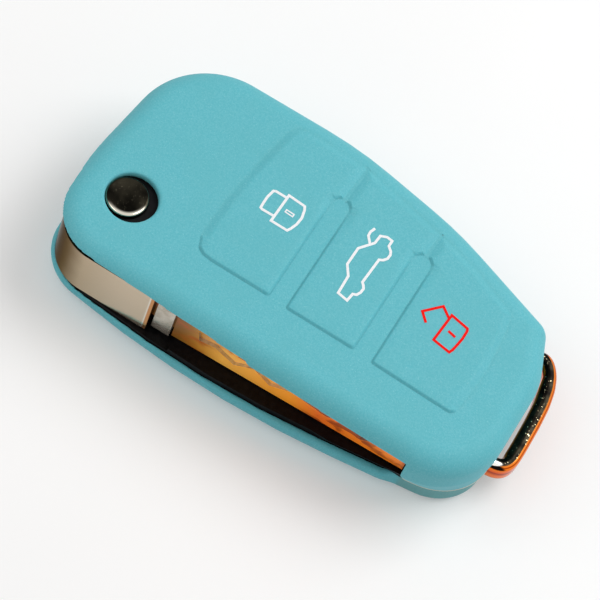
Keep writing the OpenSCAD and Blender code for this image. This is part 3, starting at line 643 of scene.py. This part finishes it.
def walls_at(z):
    """Distances to the outer and to the inner outline at one height."""
    share = np.clip((z - RIM) / (WIDEST - RIM), 0, 1)
    outer = d_lower * (1 - share) + d_upper * share
    inner = d_case * (1 - share) + d_upper * share
    ridge = LINE_WIDTH * math.exp(-((z - LINE_LEVEL) / LINE_WIDTH) ** 2)
    outer = outer + tail * (LINE_STEP * fade(z, LINE_LEVEL, LINE_LEVEL - 0.3) - ridge)
    inset = tail * LINE_INSET * facing_near * (1 - share)
    outer, inner = outer + inset, inner + inset
    if RIM < z < OPENING_TOP:
        drawn_in = fade(z, OPENING_TOP, OPENING_TOP - 2) * fade(z, RIM, RIM + 2)
        outer = outer + HEAD_INSET * beside_head * drawn_in
    return outer, inner


def rounded_body(side, face, radius):
    """Distance to a body from those to its side and to its level face, rounded between them."""
    a, b = side + radius, face + radius
    return np.minimum(np.maximum(a, b), 0) + np.hypot(np.maximum(a, 0), np.maximum(b, 0)) - radius


def blade_opening_at(z):
    """Distance to the room that the blade and the hub swing in."""
    height = np.maximum(RIM - z, z - edge_line)
    beside_blade = np.maximum(np.maximum(height, X - OPENING_END), Y - BLADE_WALL)
    beside_hub = np.maximum(np.maximum(height, X - PIVOT[0]), Y - HUB_WALL)
    return np.minimum(beside_blade, beside_hub)


def sockets_at(z):
    """Distance to the two sockets of the ring loop."""
    best = np.inf
    for (socket_x, socket_y), (dx, dy) in SOCKETS:
        run = (X - socket_x) * dx + (Y - socket_y) * dy
        across = (X - socket_x) * -dy + (Y - socket_y) * dx
        section = np.maximum(np.abs(across) - LOOP_WIDTH / 2, abs(z - LOOP_LEVEL) - LOOP_HEIGHT / 2)
        best = np.minimum(best, np.maximum(section - SOCKET_GAP, np.abs(run) - SOCKET_REACH))
    return best


def cover_field():
    """Distance to the silicone at every point of the grid, less than zero inside it."""
    hole = np.hypot(X - HOLE_X, Y - PIVOT[1]) - HOLE_RADIUS
    base_round = BASE_ROUND + (TAIL_BASE_ROUND - BASE_ROUND) * tail
    field = np.empty(X.shape + (len(zs),), np.float32)
    for k, z in enumerate(zs):
        outer, inner = walls_at(z)
        if z > MIDDLE:
            body = rounded_body(outer, z - HEIGHT, TOP_ROUND)
            room = rounded_body(inner + WALL, z - CEILING, INNER_TOP_ROUND)
            lip_round = LIP_TOP_ROUND
        else:
            body = rounded_body(outer, -z, base_round)
            room = rounded_body(inner + WALL, WALL - z, INNER_BASE_ROUND)
            lip_round = LIP_BASE_ROUND
        level = smooth_max(body, -blade_opening_at(z), lip_round)
        if z > HOLE_BASE:
            level = smooth_max(level, -hole, HOLE_ROUND)
        level = smooth_max(level, -room, ROOM_ROUND)
        field[:, :, k] = np.maximum(level, -sockets_at(z))
    return field


def relaxed(points, faces, rounds):
    """Takes the grid's steps out of a mesh: each round smooths it and then swells it back."""
    smoothing, swelling = 0.5, -0.52
    starts = faces.ravel()
    ends = np.roll(faces, -1, axis=1).ravel()
    size = len(points)
    share = 1 / np.maximum(np.bincount(starts, minlength=size) + np.bincount(ends, minlength=size), 1)
    for factor in (smoothing, swelling) * rounds:
        move = np.empty_like(points)
        for k in range(3):
            total = np.bincount(starts, points[ends, k], size) + np.bincount(ends, points[starts, k], size)
            move[:, k] = total * share - points[:, k]
        points = points + factor * move
    return points


# Seam between the skin and the pads, which sit in its openings.

PAD_NAMES = list(PADS)
PAD_LINES = [rounded(PADS[name], 15) for name in PAD_NAMES]


def pad_distances(x, y):
    return np.stack([polygon_distance(line, x, y) for line in PAD_LINES], axis=-1)


def nearest_pad(x, y):
    return pad_distances(x, y).min(axis=-1)


def pad_slope(x, y, step):
    """Direction away from the nearest pad, as a unit vector's x and y."""
    dx = nearest_pad(x + step, y) - nearest_pad(x - step, y)
    dy = nearest_pad(x, y + step) - nearest_pad(x, y - step)
    size = np.maximum(np.hypot(dx, dy), SMALL)
    return dx / size, dy / size


def pad_owner(x, y):
    """Which pad a place belongs to, or -1; where two pads almost meet, they share the gap."""
    distances = pad_distances(x, y)
    order = np.sort(distances, axis=-1)
    shared = (order[..., 0] < SHARED_NEAR) & (order[..., 1] < SHARED_FAR)
    return np.where((order[..., 0] < SEAM) | shared, distances.argmin(axis=-1), -1)


def snapped(points, ids):
    """Moves edge points sideways onto the seam, apart from where two pads share it."""
    x, y = points[ids, 0], points[ids, 1]
    order = np.sort(pad_distances(x, y), axis=1)
    way = SEAM - order[:, 0]
    move = way * (order[:, 1] > SNAP_APART) * (np.abs(way) < SNAP_REACH)
    dx, dy = pad_slope(x, y, 0.01)
    points[ids, 0] = x + dx * move
    points[ids, 1] = y + dy * move


def boundary_loops(faces):
    """Closed chains of the edges that only one face uses, apart from the shortest."""
    shortest = 8
    edges = np.stack([faces, np.roll(faces, -1, axis=1)], axis=2).reshape(-1, 2)
    known = set(map(tuple, edges.tolist()))
    onward = {start: end for start, end in known if (end, start) not in known}
    loops = []
    while onward:
        point = next(iter(onward))
        chain = []
        while point in onward:
            chain.append(point)
            point = onward.pop(point)
        if len(chain) > shortest:
            loops.append(chain)
    return loops


def with_skirt(points, faces, depth, inset, floor):
    """Part of a skin with a skirt below its upper edges, and a floor if wanted."""
    used = np.unique(faces)
    number = np.full(len(points), -1)
    number[used] = np.arange(len(used))
    out_points = list(map(tuple, points[used]))
    out_faces = [tuple(face) for face in number[faces].tolist()]
    for chain in boundary_loops(faces):
        ring = points[chain]
        if ring[:, 2].min() < PAD_EDGE_LEVEL:
            continue
        tangent = np.roll(ring, -1, axis=0) - np.roll(ring, 1, axis=0)
        inward = np.stack([-tangent[:, 1], tangent[:, 0], 0 * tangent[:, 0]], axis=1)
        inward /= np.maximum(np.linalg.norm(inward, axis=1), SMALL)[:, None]
        low = ring + inward * inset
        low[:, 2] = depth
        base = len(out_points)
        out_points.extend(map(tuple, low))
        top = number[chain]
        count = len(chain)
        for i in range(count):
            k = (i + 1) % count
            out_faces.append((top[i], base + i, base + k, top[k]))
        if floor:
            out_faces.append(tuple(base + i for i in reversed(range(count))))
    return out_points, out_faces


def face_owners(points, faces):
    """Which pad each face of the cover belongs to, or -1 for the skin."""
    corners = points[faces]
    centres = corners.mean(axis=1)
    normal = np.cross(corners[:, 2] - corners[:, 0], corners[:, 3] - corners[:, 1])
    normal /= np.maximum(np.linalg.norm(normal, axis=1), SMALL)[:, None]
    on_top = (centres[:, 2] > TOP_LEVEL) & (np.abs(normal[:, 2]) > 0.3)
    owner = np.full(len(faces), -1)
    owner[on_top] = pad_owner(centres[on_top, 0], centres[on_top, 1])
    return owner


def standing_for(obj, node, body):
    """Lets a piece take the place of a CAD node."""
    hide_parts(node)
    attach(obj, body)


def build_cover():
    points, quads = spanned(cover_field(), (xs, ys, zs))
    points = relaxed(points, quads, 3)
    owner = face_owners(points, quads)
    skin = quads[owner < 0]
    snapped(points, np.intersect1d(np.unique(skin), np.unique(quads[owner >= 0])))
    skin_points, skin_faces = with_skirt(points, skin, CEILING + 0.02, 0.0, False)
    cover = dress(mesh_object("cover_skin", skin_points, skin_faces), SILICONE)
    standing_for(cover, "cover_sleeve", "fob")


build_cover()


# Pads: each one has a finely meshed top of its own.

def pad_height(x, y):
    """Height over the cover's face: steep at the near edges and in the valleys, soft elsewhere."""
    distances = pad_distances(x, y)
    pad = distances.argmin(axis=1)
    dx, dy = pad_slope(x, y, 0.02)
    # the valleys between the pads fade away from the blade side
    inner = np.select([pad == 0, pad == 2], [dx > 0, dx < 0], True)
    valley = np.abs(dx) * inner * (1 - 0.75 * fade(y, 1, 10)) * 0.9
    steep = smoothstep(np.maximum(-1.25 * dy, valley) * 1.3)
    into = -distances.min(axis=1)
    sharp = fade(into, -0.03, 0.33)
    soft = fade(into, -SEAM, 1.5 - SEAM)
    edge = sharp * steep + soft * (1 - steep)
    crease = CREASE_DEPTH * steep * np.exp(-((into + SEAM) / CREASE_WIDTH) ** 2)
    return PAD_RISE * (EDGE_SHARE * edge + (1 - EDGE_SHARE) * soft) - crease


def face_height(x, y):
    """The cover's own top, which rounds off towards its edge."""
    into = np.clip(polygon_distance(UPPER_LINE, x, y) + TOP_ROUND, 0, TOP_ROUND)
    return HEIGHT - TOP_ROUND + np.sqrt(TOP_ROUND ** 2 - into ** 2)


def build_pads():
    pitch = 0.12
    reach_x, reach_y = (-18.6, 28.8), (-11.5, 18.2)
    grid_x, grid_y = np.meshgrid(np.arange(*reach_x, pitch), np.arange(*reach_y, pitch), indexing="ij")
    number = np.arange(grid_x.size).reshape(grid_x.shape)
    cells = np.stack([number[:-1, :-1], number[1:, :-1], number[1:, 1:], number[:-1, 1:]],
                     axis=-1).reshape(-1, 4)
    sheet = np.stack([grid_x.ravel(), grid_y.ravel(), np.zeros(grid_x.size)], axis=1)
    middle = sheet[cells].mean(axis=1)
    owner = pad_owner(middle[:, 0], middle[:, 1])
    outside = np.unique(cells[owner < 0])
    for j in range(len(PAD_NAMES)):
        snapped(sheet, np.intersect1d(np.unique(cells[owner == j]), outside))
    used = np.unique(cells[owner >= 0])
    x, y = sheet[used, 0], sheet[used, 1]
    sheet[used, 2] = face_height(x, y) + pad_height(x, y)
    for j, name in enumerate(PAD_NAMES):
        points, faces = with_skirt(sheet, cells[owner == j], PAD_BASE, 0.01, True)
        pad = dress(mesh_object(name + "_pad_skin", points, faces), SILICONE)
        standing_for(pad, name + "_pad", name + "_button")


build_pads()


# Release button, spring and ring loop.

def lathe(name, profile, centre, count=96):
    """Solid of revolution from radius and height pairs."""
    angles = [2 * math.pi * k / count for k in range(count)]
    points = [(centre[0] + radius * math.cos(angle), centre[1] + radius * math.sin(angle), height)
              for radius, height in profile for angle in angles]
    faces = []
    for i in range(len(profile) - 1):
        for k in range(count):
            a, b = i * count + k, i * count + (k + 1) % count
            faces.append((a, b, b + count, a + count))
    faces.append(tuple(reversed(range(count))))
    faces.append(tuple((len(profile) - 1) * count + k for k in range(count)))
    return mesh_object(name, points, faces)


def build_button():
    """Cap with a chamfered base, a rounded edge and a slightly dished face."""
    chamfer, edge, dish = 0.3, 0.38, 0.09
    # how far inside the edge the dish ends and its first ring of points is, and the last ring's radius
    dish_edge, first_ring, last_ring = 0.4, 0.5, 0.05
    base, top = button_low.z / MM, button_high.z / MM
    radius = (button_high.x - button_low.x) / 2 / MM
    profile = [(radius - chamfer, base), (radius, base + chamfer)]
    profile += [(radius - edge + edge * math.cos(angle), top - edge + edge * math.sin(angle))
                for angle in np.linspace(0, math.pi / 2, 8)]
    profile += [(place, top - dish * (1 - (place / (radius - dish_edge)) ** 2))
                for place in np.linspace(radius - first_ring, last_ring, 12)]
    button = dress(lathe("release_cap", profile, PIVOT), BUTTON)
    standing_for(button, "release_button", "release")


def build_spring():
    """Coil of round wire, which the release button squeezes."""
    turns, wire, steps, sides = 3.5, 0.29, 140, 10
    low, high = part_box("flip_spring")
    height = high.z - low.z
    radius = (high.x - low.x) / 2 / MM - wire
    points, faces = [], []
    for i in range(steps + 1):
        angle = 2 * math.pi * turns * i / steps
        z = low.z / MM + wire + (height / MM - 2 * wire) * i / steps
        for k in range(sides):
            round_wire = 2 * math.pi * k / sides
            reach = radius + wire * math.cos(round_wire)
            points.append((PIVOT[0] + reach * math.cos(angle), PIVOT[1] + reach * math.sin(angle),
                           z + wire * math.sin(round_wire)))
    for i in range(steps):
        for k in range(sides):
            a, b = i * sides + k, i * sides + (k + 1) % sides
            faces.append((a, a + sides, b + sides, b))
    faces.append(tuple(range(sides)))
    faces.append(tuple(reversed(range(steps * sides, (steps + 1) * sides))))
    spring = dress(mesh_object("flip_coil", points, faces), STEEL)
    standing_for(spring, "flip_spring", "blade_arm")
    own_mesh(spring)


def smooth_line(points, count, rounds):
    """Evenly spaced points on a line, with its corners worn off."""
    corners = np.array(points, float)
    run = np.concatenate([[0], np.cumsum(np.linalg.norm(np.diff(corners, axis=0), axis=1))])
    places = np.linspace(0, run[-1], count)
    line = np.stack([np.interp(places, run, corners[:, 0]), np.interp(places, run, corners[:, 1])],
                    axis=1)
    for _ in range(rounds):
        line[1:-1] = (line[:-2] + 2 * line[1:-1] + line[2:]) / 4
    return line


def bar_section(width, height, radius, steps):
    """Rounded rectangle, as places across and up."""
    places = []
    for across, up, first in ((1, 1, 0), (-1, 1, 90), (-1, -1, 180), (1, -1, 270)):
        for k in range(steps + 1):
            angle = math.radians(first + 90 * k / steps)
            places.append((across * (width / 2 - radius) + radius * math.cos(angle),
                           up * (height / 2 - radius) + radius * math.sin(angle)))
    return places


def swept_bar(name, line, section, level, swell):
    """Solid that carries a section along a level line; the swell widens its left side."""
    tangent = np.gradient(line, axis=0)
    tangent /= np.linalg.norm(tangent, axis=1)[:, None]
    side = np.stack([-tangent[:, 1], tangent[:, 0]], axis=1)
    points = [(*(point + out * (across + more * max(across, 0))), level + up)
              for point, out, more in zip(line, side, swell) for across, up in section]
    count = len(section)
    faces = [(i * count + k, (i + 1) * count + k,
              (i + 1) * count + (k + 1) % count, i * count + (k + 1) % count)
             for i in range(len(line) - 1) for k in range(count)]
    faces.append(tuple(range(count)))
    faces.append(tuple((len(line) - 1) * count + k for k in reversed(range(count))))
    return mesh_object(name, points, faces)


def build_loop():
    line = smooth_line(LOOP, 140, 8)
    long_side = fade(line[:, 1], -7.2, -5.2) * fade(line[:, 1], 10, 7)
    loop = swept_bar("loop_bar", line, bar_section(LOOP_WIDTH, LOOP_HEIGHT, LOOP_EDGE, 6),
                     LOOP_LEVEL, long_side * LOOP_SWELL * 2 / LOOP_WIDTH)
    dress(loop, NICKEL)
    standing_for(loop, "ring_loop", "fob")


build_button()
build_spring()
build_loop()


# Floor, light and camera.

def seen_directly(tree):
    """1 for what the camera sees, also in metal or through glass, and 0 for the light itself."""
    path = tree.nodes.new("ShaderNodeLightPath")
    value = path.outputs["Is Camera Ray"]
    for name in ("Is Glossy Ray", "Is Transmission Ray"):
        value = reckon(tree, "MAXIMUM", value, path.outputs[name])
    return value


def strength_when_seen(tree, socket, plain, seen):
    """Sets a strength that differs for what is seen directly."""
    line = tree.nodes.new("ShaderNodeMath")
    line.operation = "MULTIPLY_ADD"
    line.inputs[1].default_value = seen - plain
    line.inputs[2].default_value = plain
    tree.links.new(seen_directly(tree), line.inputs[0])
    tree.links.new(line.outputs["Value"], socket)


def build_floor():
    reach, level = 900, -0.02
    corners = [(-reach, -reach, level), (reach, -reach, level), (reach, reach, level),
               (-reach, reach, level)]
    floor = dress(mesh_object("floor", corners, [(0, 1, 2, 3)], smooth=False), FLOOR)
    shader = FLOOR.node_tree.nodes["Principled BSDF"]
    shader.inputs["Emission Color"].default_value = (1, 1, 1, 1)
    strength_when_seen(FLOOR.node_tree, shader.inputs["Emission Strength"], 0.0, 0.2)


def build_world():
    """White where it is seen, and a dimmer light all round."""
    world = bpy.data.worlds.new("studio")
    bpy.context.scene.world = world
    world.use_nodes = True
    sky = world.node_tree.nodes["Background"]
    sky.inputs["Color"].default_value = (1, 1, 1, 1)
    strength_when_seen(world.node_tree, sky.inputs["Strength"], 0.42, 1.0)


def area_lamp(name, place, size, power, colour=(1, 1, 1)):
    """Square lamp that shines at the object."""
    data = bpy.data.lights.new(name, "AREA")
    data.size = size
    data.energy = power
    data.color = colour
    lamp = bpy.data.objects.new(name, data)
    bpy.context.scene.collection.objects.link(lamp)
    lamp.location = place
    lamp.rotation_mode = "QUATERNION"
    lamp.rotation_quaternion = (-Vector(place)).to_track_quat("-Z", "Y")


def build_camera():
    """Camera fitted to the photograph: its angles, the point it looks at and its distance in mm."""
    elevation, azimuth, roll = (math.radians(angle) for angle in (62.0, 8.0, 24.5))
    target, distance = Vector((SHIFT - 0.5, PIVOT[1], HEIGHT)), 492.75
    # half the picture and the focal length, both in points of the picture, and the sensor in mm
    half_picture, focal_length, sensor = 300, 3400, 36
    back = Vector((math.sin(azimuth) * math.cos(elevation), -math.cos(azimuth) * math.cos(elevation),
                   math.sin(elevation)))
    right = Vector((math.cos(azimuth), math.sin(azimuth), 0))
    up = back.cross(right)
    across = math.cos(roll) * right + math.sin(roll) * up
    upright = -math.sin(roll) * right + math.cos(roll) * up
    camera = bpy.data.objects.new("camera", bpy.data.cameras.new("camera"))
    bpy.context.scene.collection.objects.link(camera)
    turn = Matrix((across, upright, back)).transposed().to_4x4()
    camera.matrix_world = Matrix.Translation((target + back * distance) * MM) @ turn
    camera.data.sensor_width = sensor
    camera.data.lens = sensor / 2 * focal_length / half_picture
    camera.data.clip_start = 0.02
    camera.data.clip_end = 20
    bpy.context.scene.camera = camera


build_floor()
build_world()
area_lamp("key", (0.22, 0.22, 0.46), 0.40, 1.78)
area_lamp("fill", (-0.30, -0.20, 0.50), 0.35, 0.58, (1.0, 0.95, 0.90))
build_camera()
bpy.context.scene.view_settings.view_transform = "Standard"
